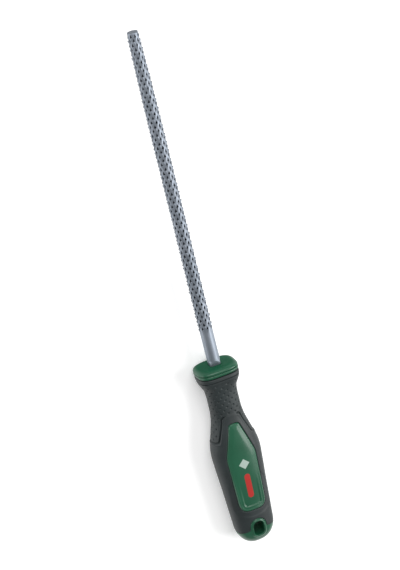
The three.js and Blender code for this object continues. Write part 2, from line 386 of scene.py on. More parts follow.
# %% [markdown]
# ## Soft-touch elastomer
# The grip is a thermoplastic elastomer, moulded over the core. It is nearly black, with a dry
# surface that scatters light at grazing angles, so it takes a little sheen, and its mould grain is
# coarser than the hard plastic's.

# %% Material of the soft grip
def soft_elastomer():
    """Nearly black soft plastic with a coarse grain and a slight sheen."""
    material, tree, shader, where = new_material("thermoplastic_elastomer_moulded")
    cloud = noise(tree, where, 11.0, 3.0)
    grain = noise(tree, where, 0.4, 3.0, 0.6)
    colour = mix(tree, remap(tree, cloud, 0.35, 0.65, 0, 1), linear("#1f2627"), linear("#252d2e"))
    dryness = remap(tree, grain, 0.3, 0.7, 0.46, 0.6)
    set_finish(tree, shader, grain, 0.02, Base_Color=colour, Metallic=0.0, Roughness=dryness, IOR=1.5,
               Specular_IOR_Level=0.4, Sheen_Weight=0.03, Sheen_Roughness=0.4)
    return material


STEEL = hardened_steel()
GREEN = moulded_green("polypropylene_moulded_green")
PRINTED_GREEN = moulded_green("polypropylene_moulded_green_pad_printed", print_colours=True)
ELASTOMER = soft_elastomer()


def finish_piece(piece, material, node):
    """Gives a piece its material and its body, and hides the CAD node it stands for."""
    piece.data.materials.append(material)
    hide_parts(node)
    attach(piece, "root")
    return piece


# %% [markdown]
# ## The blade
# A rasp's teeth are not cut in lines like a file's. A pointed punch drives into the soft steel at a
# slant, digs a three-cornered pit and throws up one hooked tooth behind it. The teeth stand in
# columns round the stock, every other column half a pitch on. One could model a tooth and copy it,
# but then the pits would be missing. Here the stock is a grid, and each grid point knows how far it
# is along and across from the nearest punch mark, so tooth and pit are one surface with it.
# The same grid runs on through the plain shank, turns from round to square in the forged heel, and
# tapers as the tang inside the handle.

# %% Sizes of the blade
STOCK_RADIUS, TIP_RADIUS, TIP_TAPER = 3.7, 3.0, 60.0
PLAIN_SHANK = 20.0
TOOTH_PITCH, TOOTH_COLUMNS = 5.0, 16  # the real stock has nearer 20 columns
TOOTH_HEIGHT, TOOTH_LEAN = 0.66, 0.3
TOOTH_BACK, PIT_LENGTH, PIT_DEPTH = 1.8, 1.9, 0.65
TOOTH_HALF_WIDTH, PIT_HALF_WIDTH = 0.6, 0.74
FIRST_CUT, LAST_CUT_MARGIN, BARE_TIP = 2.4, 0.4, 1.2
CUT_STEP = 0.02
STRENGTH_SPREAD, ALONG_SPREAD, ACROSS_SPREAD = 0.16, 0.1, 0.05
TIP_CHAMFER = 0.25
HEEL_HALF, HEEL_ABOVE, HEEL_BELOW, HEEL_STEP = 2.95, 4.0, 10.0, 0.6
HEEL_POWER, SQUARE_FROM, SQUARE_TO = 8.0, -2.8, -0.6
TANG_END_HALF_WIDTH, TANG_END_HALF_DEPTH = 1.6, 1.1
# PIT_SHADE and CREST_SHADE weigh the painted shade in the pits and on the tooth crests.
PIT_SHADE, CREST_SHADE, WORKED_SHADE, END_SHADE = 3, 0.8, 0.06, 0.3

# %% [markdown]
# ## Rows of the blade
# An even grid would need very many rows to show the sharp drop in front of each tooth. Here the
# rows crowd round the cutting edges, and the smooth shank has far fewer.

# %% Rows of the blade, from the tip's face to the end of the tang
half_pitch = TOOTH_PITCH / 2
within = np.array([0.0, 0.14, 0.4, 0.85, 1.35, 1.8, 2.2])
row_sets = int((BLADE_LENGTH - PLAIN_SHANK) / half_pitch)
toothed_rows = np.sort((np.arange(row_sets)[:, None] * half_pitch + half_pitch - within[None, :]).ravel())
ROW_SHIFT = 0.3  # puts one row of each set on the cutting edge
first_rows = [0.0, 0.0, 0.06]
from_tip = np.concatenate([first_rows, toothed_rows + ROW_SHIFT])
heel, tang_root = BLADE_LENGTH - HEEL_ABOVE, BLADE_LENGTH + HEEL_BELOW
tang_end = BLADE_LENGTH + TANG_LENGTH
shank_rows = steps(from_tip[-1] + 1.0, 14, heel - 1.5, 10, heel + 1.5, 8,
                   tang_root, 3, tang_root + 2, 8, tang_end)
from_tip = np.concatenate([from_tip, shank_rows, [tang_end]])[:, None]
blade_columns = TOOTH_COLUMNS * 10
blade_turn = (np.arange(blade_columns) / blade_columns * 2 * np.pi)[None, :]
print(f"blade grid: {len(from_tip)} rows of {blade_columns} points")

# %% [markdown]
# ## Teeth and pits
# Every punch mark has its own strength and sits a little off its place, as on a real rasp. The
# random numbers are seeded.

# %% Teeth and pits
rng = np.random.default_rng(11)


def punch_marks(from_tip, turn):
    """Radial lift, lean towards the tip and pit depth of every point, all in millimetres.

    With a the distance from the cutting edge towards the tip and b the distance across, the tooth is
    H (1 + a / back)^1.5 (1 - (b / w)^2) behind its edge, where w is 3/4 of its full size at the edge.
    The pit is -D (1 - a / length)^0.8 (1 - (b / (w (1 - a / length)))^2) in front of the edge, so it
    is three-cornered.
    """
    column_angle = 2 * np.pi / TOOTH_COLUMNS
    column = np.round(turn / column_angle).astype(int)
    stagger = (column % 2) * half_pitch
    row = np.round((from_tip - FIRST_CUT - stagger) / TOOTH_PITCH).astype(int)
    rows = int(BLADE_LENGTH / TOOTH_PITCH) + 2
    jitter = rng.uniform(-1, 1, (3, rows + 1, TOOTH_COLUMNS + 1))
    pick = (np.clip(row, 0, rows), column % TOOTH_COLUMNS)
    strength = 1 + STRENGTH_SPREAD * jitter[0][pick]
    edge = FIRST_CUT + stagger + row * TOOTH_PITCH
    along = edge - from_tip + ALONG_SPREAD * jitter[1][pick]
    across = (turn - column * column_angle) * STOCK_RADIUS + ACROSS_SPREAD * jitter[2][pick]

    cut = (edge > BARE_TIP) & (edge < BLADE_LENGTH - PLAIN_SHANK - TOOTH_BACK + LAST_CUT_MARGIN)
    behind = (along <= CUT_STEP) * np.clip(1 + along / TOOTH_BACK, 0, 1) ** 1.5
    width = TOOTH_HALF_WIDTH * (0.75 + 0.25 * np.clip(-along / TOOTH_BACK, 0, 1))
    crown = np.clip(1 - (across / width) ** 2, 0, 1)
    tooth = behind * crown * strength * cut

    open_share = np.clip(1 - along / PIT_LENGTH, 0.02, 1)
    floor = (along > CUT_STEP) * (along < PIT_LENGTH) * open_share**0.8
    dish = np.clip(1 - (across / (PIT_HALF_WIDTH * open_share)) ** 2, 0, 1)
    pit = floor * dish * strength * cut
    return tooth * TOOTH_HEIGHT, tooth * TOOTH_LEAN, pit * PIT_DEPTH


# %% [markdown]
# ## The blade's surface
# The radius grows from the tip along a parabola. The section's power rises from 2 to 8, so the
# shank turns square without a seam, and the tang then tapers in straight lines.

# %% The blade's grid
def squircle(turn, power):
    """Cosine and sine raised to 2 / power: 2 is a circle, and more is a rounder square."""
    c, s = np.cos(turn), np.sin(turn)
    return np.sign(c) * np.abs(c) ** (2 / power), np.sign(s) * np.abs(s) ** (2 / power)


taper = np.clip(1 - from_tip / TIP_TAPER, 0, 1)
radius = STOCK_RADIUS - (STOCK_RADIUS - TIP_RADIUS) * taper**2
radius = radius - TIP_CHAMFER * (from_tip < 0.01)
lift, lean, pit = punch_marks(from_tip, blade_turn)
blade_station = from_tip - BLADE_LENGTH
to_square = ramp(blade_station, SQUARE_FROM, SQUARE_TO)
to_tang = np.clip((blade_station - HEEL_BELOW) / (TANG_LENGTH - HEEL_BELOW), 0, 1)
step_in = HEEL_STEP * ramp(blade_station, HEEL_BELOW, HEEL_BELOW + 1)
blade_width = radius + (HEEL_HALF - radius) * to_square - step_in
blade_depth = blade_width + (TANG_END_HALF_DEPTH - blade_width) * to_tang
blade_width = blade_width + (TANG_END_HALF_WIDTH - blade_width) * to_tang
blade_across, blade_up = squircle(blade_turn, 2 + (HEEL_POWER - 2) * to_square)
blade_across = blade_across * (blade_width + lift - pit)
blade_up = blade_up * (blade_depth + lift - pit)
leant = blade_station + np.zeros_like(blade_turn) - lean
blade_across[[0, -1]], blade_up[[0, -1]] = 0, 0
# The punched stretch is duller than the shank, and the sawn end face more so.
punched_end = BLADE_LENGTH - PLAIN_SHANK
worked = WORKED_SHADE * (1 - ramp(from_tip, punched_end - 1.5, punched_end + 0.5))
end_face = END_SHADE * (from_tip < 0.03)
# Painted shade: the crest term darkens the tooth crests as if their steep cutting faces lay in shade. The pit
# term darkens the pits for scale and for shade.
painted_crest_shade = CREST_SHADE * (lift / TOOTH_HEIGHT) ** 3
shade = np.clip(pit / PIT_DEPTH * PIT_SHADE + painted_crest_shade + worked + end_face, 0, 1)

blade = grid_piece("rasp_blade_toothed", place(leant, blade_across, blade_up), values={"pit": shade})
finish_piece(blade, STEEL, "rasp_blade")

# %% [markdown]
# ## The handle's own surface
# Guard, grip, panels and butt all share one body: at each station its section is a superellipse
# |y / w|^n + |z / d|^n = 1, a shade squarer than an ellipse, whose half width w and half depth d
# follow smooth curves through a few stations. The waist is narrow for finger and thumb, the belly
# fills the palm, and the end rounds off like a quarter of another superellipse.

# %% Curves of the handle
WAIST_POWER, GUARD_POWER = 2.4, 3.3
LIP_STATION, LIP_END = 5.05, 7.05
BUTT_ROUNDING, BUTT_POWER = 13.0, 2.25
ROUND_START = HANDLE_LENGTH - BUTT_ROUNDING
# Station, half width and half depth of the body, where its run changes.
SECTIONS = [
    (5.0, 12.3, 10.3), (7.1, 12.3, 10.3), (8.2, 12.25, 10.15), (10.0, 11.75, 9.6), (11.9, 10.85, 9.0),
    (13.7, 9.95, 8.45), (15.6, 9.5, 8.05), (18, 9.25, 7.8), (24.5, 9.2, 7.7), (28.5, 9.25, 7.72),
    (31.5, 9.55, 7.85), (34.5, 10.05, 8.1), (39, 11.2, 8.75), (43.4, 12.4, 9.3), (47.5, 13.4, 9.6),
    (51.5, 14.15, 9.75), (55.5, 14.4, 9.8), (62, 14.1, 9.75), (77, 13.1, 9.5), (92, 12.25, 9.1),
    (ROUND_START, 11.8, 8.8), (HANDLE_LENGTH, 11.4, 8.5),
]
section_stations, section_widths, section_depths = np.array(SECTIONS).T
body_width = through(section_stations, section_widths)
body_depth = through(section_stations, section_depths)


def closing(station):
    """Share of the full section that is left in the rounded end: (1 - t^p)^(1 / p)."""
    t = np.clip((station - ROUND_START) / BUTT_ROUNDING, 0, 1)
    return (1 - t**BUTT_POWER) ** (1 / BUTT_POWER)


def power_at(station):
    """The section is as square as the guard's at the lip, and eases into the waist's oval."""
    return GUARD_POWER + (WAIST_POWER - GUARD_POWER) * ramp(station, LIP_END, 15.0)


def half_width_at(station):
    """Half width of the handle: the body's, times what its rounded end leaves."""
    return body_width(station) * closing(station)


def half_depth_at(station):
    """Half depth of the handle: the body's, times what its rounded end leaves."""
    return body_depth(station) * closing(station)


def skin_height(station, across):
    """Height of the handle's surface over a point of its plan: d (1 - |y / w|^n)^(1 / n)."""
    w = np.maximum(half_width_at(station), 1e-6)
    inside = np.clip(1 - np.abs(across / w) ** power_at(station), 0, 1)
    return half_depth_at(station) * inside ** (1 / power_at(station))


# %% [markdown]
# ## Outlines in plan
# The panels and the bare butt are bounded by outlines that are seen from the front. Each is a list of
# points made by lines, arcs and curves, closed, and evenly spaced again along its length. The
# distance from any point to an outline, negative outside it, then places every bead and groove.

# %% Outline tools
def bezier(*controls):
    """Points of a cubic curve, without its last one."""
    a, b, c, d = (np.array(p, float) for p in controls)
    t = np.linspace(0, 1, 24, endpoint=False)[:, None]
    return a * (1 - t) ** 3 + 3 * b * t * (1 - t) ** 2 + 3 * c * t**2 * (1 - t) + d * t**3


def arc(middle, radius, start, end, count=24):
    """Points of a circular arc in degrees, without its last one, as (station, across)."""
    angle = np.radians(np.linspace(start, end, count, endpoint=False))
    return np.stack([middle[0] + radius * np.cos(angle), middle[1] + radius * np.sin(angle)], axis=-1)


def evenly(points, count):
    """A closed outline as count points at equal distances along it."""
    closed = np.vstack([points, points[:1]])
    run = np.concatenate([[0], np.cumsum(np.linalg.norm(np.diff(closed, axis=0), axis=1))])
    at = np.linspace(0, run[-1], count, endpoint=False)
    return np.stack([np.interp(at, run, closed[:, k]) for k in (0, 1)], axis=-1)


def mirrored(half):
    """A whole outline from its half on the +Y side, which starts and ends on the centre line."""
    return np.vstack([half, (half * [1, -1])[-2:0:-1]])


def outline_distance(outline, station, across):
    """Signed distance in mm to a closed outline, positive inside, worked out segment by segment."""
    p = np.stack([np.broadcast_to(station, across.shape), across], axis=-1).reshape(-1, 2)
    a, b = outline, np.roll(outline, -1, axis=0)
    best = np.full(len(p), 1e9)
    inside = np.zeros(len(p), bool)
    for start, end in zip(a, b):
        edge = end - start
        t = np.clip(((p - start) @ edge) / (edge @ edge), 0, 1)
        gap = p - start - t[:, None] * edge
        best = np.minimum(best, (gap**2).sum(axis=1))
        spans = (start[1] > p[:, 1]) != (end[1] > p[:, 1])
        reach = start[0] + (p[:, 1] - start[1]) / (edge[1] if edge[1] else 1e-12) * edge[0]
        inside ^= spans & (p[:, 0] < reach)
    return (np.sqrt(best) * np.where(inside, 1, -1)).reshape(across.shape)


# %% [markdown]
# ## The outlines themselves
# The panel widens in straight sides to a shoulder and has a squarish foot. The slot is a rectangle
# with round corners. The butt is bounded by the grip's border, the slot's rim and the tool's end.
# Half of each is drawn and then mirrored.

# %% Outlines of the panel, the butt and the slot
PANEL_TOP, PANEL_SHOULDER, PANEL_FOOT = 35.5, 56.0, HANDLE_LENGTH - 23.0
PANEL_TOP_HALF, PANEL_SHOULDER_HALF, PANEL_FOOT_HALF = 3.35, 8.8, 8.05
panel_half = np.vstack([
    bezier((PANEL_TOP, 0), (PANEL_TOP, 1.8), (PANEL_TOP + 0.1, 2.9), (PANEL_TOP + 1.4, PANEL_TOP_HALF)),
    [[PANEL_TOP + 1.4, PANEL_TOP_HALF]],
    bezier((PANEL_SHOULDER - 2.8, 8.25), (PANEL_SHOULDER - 1.4, 8.67), (PANEL_SHOULDER, PANEL_SHOULDER_HALF),
           (PANEL_SHOULDER + 2, PANEL_SHOULDER_HALF)),
    bezier((PANEL_FOOT - 6.3, PANEL_FOOT_HALF), (PANEL_FOOT - 2, PANEL_FOOT_HALF - 0.1),
           (PANEL_FOOT, 6.6), (PANEL_FOOT, 2.5)),
    [[PANEL_FOOT, 2.5], [PANEL_FOOT, 0]],
])
PANEL_OUTLINE = evenly(mirrored(panel_half), 420)

SLOT_WIDTH, SLOT_LENGTH, SLOT_CORNER, SLOT_TO_END = 6.2, 9.0, 2.5, 5.7
RIM_WIDTH = 1.9
SLOT_MIDDLE = HANDLE_LENGTH - SLOT_TO_END - SLOT_LENGTH / 2
BUTT_BORDER = HANDLE_LENGTH - 9.0
RIM_RADIUS = SLOT_WIDTH / 2 + RIM_WIDTH
RIM_MIDDLE = SLOT_MIDDLE - SLOT_LENGTH / 2 + SLOT_WIDTH / 2

corner = (SLOT_LENGTH / 2 - SLOT_CORNER, SLOT_WIDTH / 2 - SLOT_CORNER)
slot_half = np.vstack([
    [[SLOT_MIDDLE - SLOT_LENGTH / 2, 0]],
    arc((SLOT_MIDDLE - corner[0], corner[1]), SLOT_CORNER, 180, 90),
    arc((SLOT_MIDDLE + corner[0], corner[1]), SLOT_CORNER, 90, 0),
    [[SLOT_MIDDLE + SLOT_LENGTH / 2, 0]],
])
BUTT_COLUMNS = 320
SLOT_OUTLINE = evenly(mirrored(slot_half), BUTT_COLUMNS)

end_stations = ROUND_START + BUTT_ROUNDING * np.sin(np.linspace(0.335, 1, 60) * np.pi / 2)
end_stations = end_stations[end_stations > BUTT_BORDER]
butt_half = np.vstack([
    arc((RIM_MIDDLE, 0), RIM_RADIUS, 180, 90),
    [[RIM_MIDDLE, RIM_RADIUS], [BUTT_BORDER - 0.5, RIM_RADIUS + 0.05], [BUTT_BORDER, RIM_RADIUS + 0.6]],
    [[BUTT_BORDER, half_width_at(BUTT_BORDER)]],
    np.stack([end_stations, half_width_at(end_stations)], axis=-1)[:-1],
    [[HANDLE_LENGTH, 0]],
])
BUTT_OUTLINE = evenly(mirrored(butt_half), BUTT_COLUMNS)
print(f"panel {PANEL_FOOT - PANEL_TOP:.1f} mm long, slot {SLOT_WIDTH} x {SLOT_LENGTH} mm")

# %% [markdown]
# ## The guard
# A hard collar keeps the hand off the blade. Its flat face rolls off to a rounded rim, and behind a
# fine step there is a second band. It is one closed ring: the grid starts in the square socket that
# the heel goes into, climbs over the face and the rim, and comes back behind the soft lip.

# %% The guard's grid
GUARD_HALF, GUARD_DEEP = GUARD_WIDTH / 2, 10.1
ROLL_WIDTH, ROLL_HEIGHT = 4.0, 2.1
TANG_CLEARANCE, SOCKET_POWER = 0.3, 6.0
SOCKET_HALF = HEEL_HALF + TANG_CLEARANCE
guard_turn = (np.arange(224) / 224 * 2 * np.pi)[None, :]

roll = np.linspace(0, np.pi / 2, 17)
# Each row is a station and how far in from the rim it lies: first the roll from face to rim, then
# the step, the rounded band, and the way in behind the lip.
roll_rows = np.stack([ROLL_HEIGHT * (1 - np.cos(roll)), ROLL_WIDTH * (1 - np.sin(roll))], axis=-1)
band_rows = np.array([
    [2.2, 0.03], [2.3, 0.12], [2.36, 0.35], [2.42, 0.7], [2.6, 0.8], [2.8, 0.75], [2.88, 0.5], [3.0, 0.22],
    [3.2, 0.06], [3.5, -0.03], [3.85, -0.02], [4.15, 0.06], [4.4, 0.2], [4.58, 0.42], [4.7, 0.7], [4.75, 1.0],
    [4.8, 3.2], [6.2, 3.4],
])
guard_rows = np.vstack([roll_rows, band_rows])
guard_station, inset = guard_rows[:, 0][:, None], guard_rows[:, 1][:, None]
ring_across, ring_up = squircle(guard_turn, GUARD_POWER)
guard_outer = place(guard_station, ring_across * (GUARD_HALF - inset), ring_up * (GUARD_DEEP - inset))

# The socket's wall, its slightly broken edge, and the flat face out to where the roll begins.
socket_rows = np.array([[6.2, 0.0], [3.0, 0.0], [0.3, 0.0], [0.1, 0.04], [0.02, 0.12], [0.0, 0.25]])
socket_across, socket_up = squircle(guard_turn, SOCKET_POWER)
socket = place(socket_rows[:, :1], socket_across * (SOCKET_HALF + socket_rows[:, 1:]),
               socket_up * (SOCKET_HALF + socket_rows[:, 1:]))
face_share = np.linspace(0, 1, 12)[1:-1, None, None]
face = socket[-1:] * (1 - face_share) + guard_outer[:1] * face_share
# The flat of the face is drawn duller than the rolled rim and the band.
rolled = ramp(roll, 0.3, 1.3)
dull_rows = np.concatenate([np.ones(len(socket) + len(face)), 1 - rolled, np.zeros(len(band_rows))])
dull = np.repeat(dull_rows[:, None], guard_turn.shape[1], axis=1)
guard_points = np.concatenate([socket, face, guard_outer])
guard = grid_piece("guard_plate", guard_points, close_rows=True, values={"dull": dull})
finish_piece(guard, GREEN, "handle_core")

# %% [markdown]
# ## The spine
# Under the grip the core goes on as a plain spine with the tang's socket up its middle. Nothing of
# it shows, but it joins guard, panels and butt. The grid starts at the bottom of the socket, runs
# out to its mouth, and back outside.

# %% The spine's grid
spine_turn = (np.arange(96) / 96 * 2 * np.pi)[None, :]
GRIP_THICKNESS, GRIP_GAP = 2.2, 0.05
SPINE_START, SPINE_END = 4.9, 98.0
SOCKET_BOTTOM = TANG_LENGTH + 0.5
socket_stations = steps(SOCKET_BOTTOM, 24, SPINE_START)
outer_stations = steps(SPINE_START, 60, SPINE_END)


def socket_size_at(station):
    """Half width and half depth of the tang's socket, which follows the tang with 0.3 mm to spare."""
    t = np.clip((station - HEEL_BELOW) / (TANG_LENGTH - HEEL_BELOW), 0, 1)
    start = HEEL_HALF + TANG_CLEARANCE - HEEL_STEP * (station > HEEL_BELOW + 1)
    end_width, end_depth = TANG_END_HALF_WIDTH + TANG_CLEARANCE, TANG_END_HALF_DEPTH + TANG_CLEARANCE
    return start + (end_width - start) * t, start + (end_depth - start) * t


inner_w, inner_d = socket_size_at(socket_stations)
outer_w = half_width_at(outer_stations) - GRIP_THICKNESS - GRIP_GAP
outer_d = half_depth_at(outer_stations) - GRIP_THICKNESS - GRIP_GAP
spine_station = np.concatenate([[SOCKET_BOTTOM], socket_stations, outer_stations, [SPINE_END]])[:, None]
spine_w = np.concatenate([[0], inner_w, outer_w, [0]])[:, None]
spine_d = np.concatenate([[0], inner_d, outer_d, [0]])[:, None]
inner_rows = len(socket_stations) + 1
square_across, square_up = squircle(spine_turn, SOCKET_POWER)
oval_across, oval_up = squircle(spine_turn, power_at(spine_station))
is_inner = (np.arange(len(spine_station)) < inner_rows)[:, None]
spine = grid_piece("core_spine", place(spine_station,
                                       np.where(is_inner, square_across, oval_across) * spine_w,
                                       np.where(is_inner, square_up, oval_up) * spine_d))
finish_piece(spine, GREEN, "handle_core")

# %% [markdown]
# ## The panels
# A hard panel is let into the grip on the front, and another on the back. Each has a bead round its
# edge and a field inside it that sinks towards the foot. A grid suits it if its columns run round the
# outline and its rows run in to the middle: then the bead follows the edge exactly. The rows go
# from the middle line out over the top, down the wall, and back in underneath.

# %% The panel's grid
BEAD_HEIGHT = 0.3
FIELD_DEPTH, FIELD_EDGE = 0.55, 2.9
PANEL_RISE = 0.12
WALL_DEPTH = 2.4
UNDER_EDGE, UNDER_MIDDLE = 5.2, 4.8
MIDDLE_FROM, MIDDLE_TO = PANEL_TOP + 4.5, PANEL_FOOT - 7.5


def panel_rise(station, depth_in):
    """Height of the panel over the handle's surface, from the station and the distance to its edge."""
    edge = -0.42 * (1 - ramp(depth_in, 0.0, 0.45))
    bead = BEAD_HEIGHT * (0.15 + 0.85 * ramp(station, 60, 76)) * hump(depth_in, 0.8, 0.85)
    sink = ramp(station, 66, 86) * ramp(depth_in, FIELD_EDGE - 0.45, FIELD_EDGE + 0.55)
    waist = 0.25 * ramp(depth_in, 0.4, 3.4) * (1 - ramp(station, 60, 84))
    return PANEL_RISE + edge + bead + waist - FIELD_DEPTH * sink


def panel_grid(side):
    """The panel as a grid, on the front for side = 1 and on the back for side = -1."""
    out = PANEL_OUTLINE
    spine_point = np.stack([np.clip(out[:, 0], MIDDLE_FROM, MIDDLE_TO), np.zeros(len(out))], axis=-1)
    reach = np.linalg.norm(out - spine_point, axis=1)[None, :]
    near_edge = np.array([0, 0.06, 0.15, 0.28, 0.45, 0.6, 0.75, 0.95, 1.15, 1.4, 1.7, 2.05, 2.35, 2.6,
                          2.85, 3.1, 3.4, 3.7])[:, None]
    share = np.linspace(0, 1, 16)[1:, None]
    squeeze = np.minimum(1, reach / 4.0)
    inner_rows = (near_edge[-1] * squeeze) * (1 - share) + reach * share
    depth_in = np.vstack([near_edge * squeeze, inner_rows])[::-1]
    t = depth_in / reach
    plan = out[None] * (1 - t[..., None]) + spine_point[None] * t[..., None]
    from_edge = np.clip(outline_distance(PANEL_OUTLINE, plan[..., 0], plan[..., 1]), 0, None)
    top = skin_height(plan[..., 0], plan[..., 1]) + panel_rise(plan[..., 0], from_edge)
    wall = top[-1:] - WALL_DEPTH * np.array([0.25, 0.6, 1.0])[:, None]
    wall_plan = np.repeat(plan[-1:], 3, axis=0)
    under = np.repeat(np.minimum(wall[-1:], UNDER_EDGE), 2, axis=0)
    under_t = np.array([0.5, 1.0])[:, None, None]
    under_plan = out[None] * (1 - under_t) + spine_point[None] * under_t
    under[-1] = UNDER_MIDDLE
    station = np.vstack([plan[..., 0], wall_plan[..., 0], under_plan[..., 0]])
    across = np.vstack([plan[..., 1], wall_plan[..., 1], under_plan[..., 1]])
    up = np.vstack([top, wall, under]) * side
    return place(station, across, up)


front_panel = grid_piece("front_panel", panel_grid(1))
finish_piece(front_panel, PRINTED_GREEN, "handle_core")
back_panel = grid_piece("back_panel", panel_grid(-1))
finish_piece(back_panel, GREEN, "handle_core")

# %% [markdown]
# ## The butt and its hang slot
# The bare end of the core is a rounded cap with a slot right through it, and a bead round the slot
# on both faces. Its grid closes both ways, like a ring: from the middle of the slot's wall, up to
# the front bead, out over the front to the border, down through the thickness, and back again
# underneath. Column k joins point k of the slot's outline to point k of the butt's.

# %% The butt's grid
RIM_HEIGHT = 0.4


def height_share(plan):
    """1 over the flat of the butt, fading to 0 where the surface turns down at its edge."""
    full = half_depth_at(BUTT_BORDER)
    return np.clip(skin_height(plan[..., 0], plan[..., 1]) / (0.75 * full), 0, 1) ** 2


def butt_grid():
    """The butt as a ring of rows from the slot's edge out to the border and back behind."""
    out, slot = BUTT_OUTLINE, SLOT_OUTLINE
    reach = np.linalg.norm(out - slot, axis=1)[None, :]
    bead_rows = np.array([0, 0.08, 0.2, 0.36, 0.55, 0.75, 0.95, 1.15, 1.35, 1.6])[:, None]
    near_slot = bead_rows * np.minimum(1, reach / 2.2)
    share = np.sin(np.linspace(0, 1, 22) * np.pi / 2)[1:, None]
    away = np.vstack([near_slot, near_slot[-1:] * (1 - share) + reach * share])
    t = (away / reach)[..., None]
    plan = slot[None] * (1 - t) + out[None] * t
    is_border = ramp(BUTT_BORDER + 0.4 - out[:, 0], 0, 0.5)[None, :]
    to_border = reach - away
    rim = RIM_HEIGHT * hump(away, 0.75, 0.95) - 0.35 * (1 - ramp(away, 0, 0.35))
    drop = 0.35 * (1 - ramp(to_border, 0, 0.4)) * is_border
    height = np.maximum(skin_height(plan[..., 0], plan[..., 1]) + rim * height_share(plan) - drop, 0)
    wall = height[:1] * np.array([0.0, 0.3, 0.6, 0.85])[:, None]
    border_wall = height[-1:] * np.array([0.8, 0.5, 0.2])[:, None]
    slot_rows = np.repeat(slot[None], 4, axis=0)
    border_rows = np.repeat(out[None], 3, axis=0)
    front_plan = np.vstack([slot_rows, plan, border_rows])
    front_up = np.vstack([wall, height, border_wall])
    back_plan, back_up = front_plan[:0:-1], -front_up[:0:-1]
    whole_plan, whole_up = np.vstack([front_plan, back_plan]), np.vstack([front_up, back_up])
    on_wall = (np.arange(len(front_up)) < len(wall)) * 1.0
    dull = np.repeat(np.concatenate([on_wall, on_wall[:0:-1]])[:, None], len(out), axis=1)
    return place(whole_plan[..., 0], whole_plan[..., 1], whole_up), dull


butt_points, butt_dull = butt_grid()
butt = grid_piece("butt_cap", butt_points, close_rows=True, values={"dull": butt_dull})
finish_piece(butt, GREEN, "handle_core")

# %% [markdown]
# ## The soft grip
# The grip is one sleeve. Behind the guard it has a narrow lip, then a waist covered in small
# dimples. On both flanks the dimpled skin runs on as a tongue, framed by a groove, into the smooth
# belly. Round each panel the soft plastic turns down into a groove, and below the belly it ends
# at the butt and round the rim of the hang slot.
# All of that is relief on the body surface: each term moves a point along the section's normal.

# %% Relief of the grip
WAIST_END = 30.6
TONGUE_END = 45.5
tongue_edge = through([27, 31, 35, 39, 44, 49], [0.48, 0.55, 0.62, 0.69, 0.76, 0.79])
PAD_DEPTH, GROOVE_DEPTH = 0.25, 1.0
DIMPLE_PITCH, DIMPLE_ACROSS, DIMPLE_RADIUS, DIMPLE_DEPTH = 4.1, 2.1, 0.68, 0.55
LIP_ROUND, LIP_STEP, LIP_FADE, END_ROUND = 0.45, 0.8, 0.2, 0.4
TAIL_START = 94.0


def soft_least(one, two, blend):
    """The smaller of two distances, rounded where they meet over about the blend length."""
    mixed = np.clip(0.5 + 0.5 * (two - one) / blend, 0, 1)
    return two * (1 - mixed) + one * mixed - blend * mixed * (1 - mixed)


def pad_distance(station, across):
    """Signed distance in mm to the dimpled skin's edge, positive inside the skin."""
    waist = WAIST_END - station
    flank = (np.abs(across) - tongue_edge(station) * body_width(station)) * 0.93
    tongue = soft_least(flank, TONGUE_END - station, 1.6)
    return -soft_least(-waist, -tongue, 2.0)


def dimples(station, girth):
    """Depth of the dimples: rows DIMPLE_PITCH apart along the tool, every other column half a row on."""
    column = np.round(girth / DIMPLE_ACROSS)
    off_across = girth - column * DIMPLE_ACROSS
    row_start = (column % 2) * DIMPLE_PITCH / 2
    off_along = (station - row_start + DIMPLE_PITCH / 2) % DIMPLE_PITCH - DIMPLE_PITCH / 2
    away = np.hypot(off_across, off_along)
    return DIMPLE_DEPTH * (1 - ramp(away, 0.15, DIMPLE_RADIUS))


def grip_relief(station, across, girth):
    """How far each point stands out from the body surface, in mm."""
    pad = pad_distance(station, across)
    on_flank = ramp(np.abs(across) / body_width(station), 0.3, 0.5)
    relief = -PAD_DEPTH * ramp(pad, -0.2, 1.4)
    relief = relief - GROOVE_DEPTH * hump(pad, 0.45, 0.5) * on_flank
    relief = relief + 0.15 * hump(pad, -0.6, 0.6) * on_flank
    relief = relief - dimples(station, girth) * ramp(pad, 1.3, 1.9) * ramp(station, 9.2, 10.2)
    panel = outline_distance(PANEL_OUTLINE[::3], station, across)
    relief = relief - 0.3 * ramp(panel, -0.55, -0.2) - 1.9 * ramp(panel, -0.28, 0.1)
    ledge = outline_distance(LEDGE_OUTLINE, station, across)
    relief = relief - 0.22 * ramp(ledge, -0.6, 0.6)
    return relief


ledge_half = np.vstack([
    bezier((68, 0), (68, 4), (68, 11.0), (76, 11.0)),
    bezier((76, 11.0), (84, 11.0), (88, 11.2), (90, 10.4)),
    bezier((90, 10.4), (93, 9.0), (94.5, 5), (94.5, 0)),
    [[94.5, 0]],
])
LEDGE_OUTLINE = evenly(mirrored(ledge_half), 90)

# %% [markdown]
# ## The grip's outside
# The rows are close together where there are dimples and grooves, and wider apart on the plain
# belly. The last rows are squeezed, so that they end on the border instead of crossing it.

# %% The grip's grid
GRIP_COLUMNS = 256
grip_turn = (np.arange(GRIP_COLUMNS) / GRIP_COLUMNS * 2 * np.pi)[None, :]


def border_station(across):
    """Where the grip ends: at the butt's border, or round the rim of the slot near the middle."""
    inside = np.clip(RIM_RADIUS**2 - across**2, 0, None)
    round_rim = RIM_MIDDLE - np.sqrt(inside)
    beside = ramp(np.abs(across), RIM_RADIUS - 0.15, RIM_RADIUS + 0.45)
    return round_rim * (1 - beside) + BUTT_BORDER * beside - 0.12


